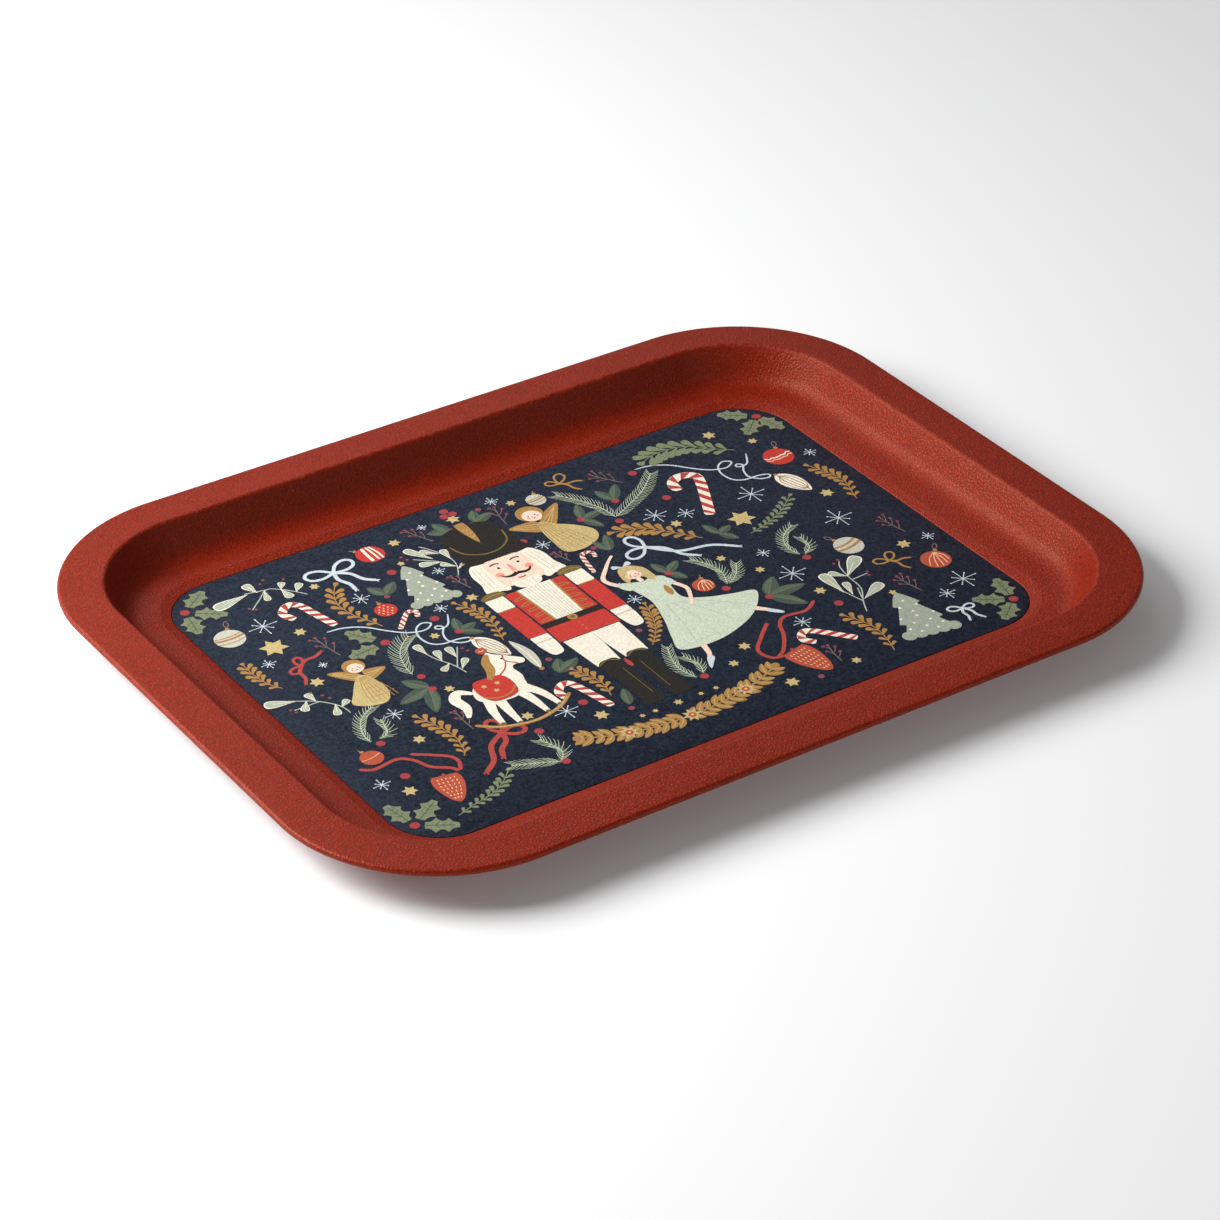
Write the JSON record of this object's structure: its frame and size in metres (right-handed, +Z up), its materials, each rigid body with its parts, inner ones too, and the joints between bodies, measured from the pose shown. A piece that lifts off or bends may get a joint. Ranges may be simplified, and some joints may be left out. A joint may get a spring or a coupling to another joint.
{
  "type": "serving tray",
  "caption": "Rectangular pressed-steel serving tray with rounded corners, a flat rim with a rolled edge, a shallow well and a decorated panel.",
  "frame": {"origin": "on the ground, under the middle of the tray", "axes": "+X along the tray, +Y across it towards the top of the picture, +Z up"},
  "size_m": [0.38, 0.288, 0.0183],
  "materials": {
    "red_lacquer": "satin red lacquer with a fine grain",
    "wire_steel": "bright drawn wire",
    "navy_print": "matt navy print with coloured motifs"
  },
  "bodies": {
    "root": {"tray_pan": "red_lacquer", "edge_wire": "wire_steel", "printed_panel": "navy_print"}
  },
  "joints": []
}
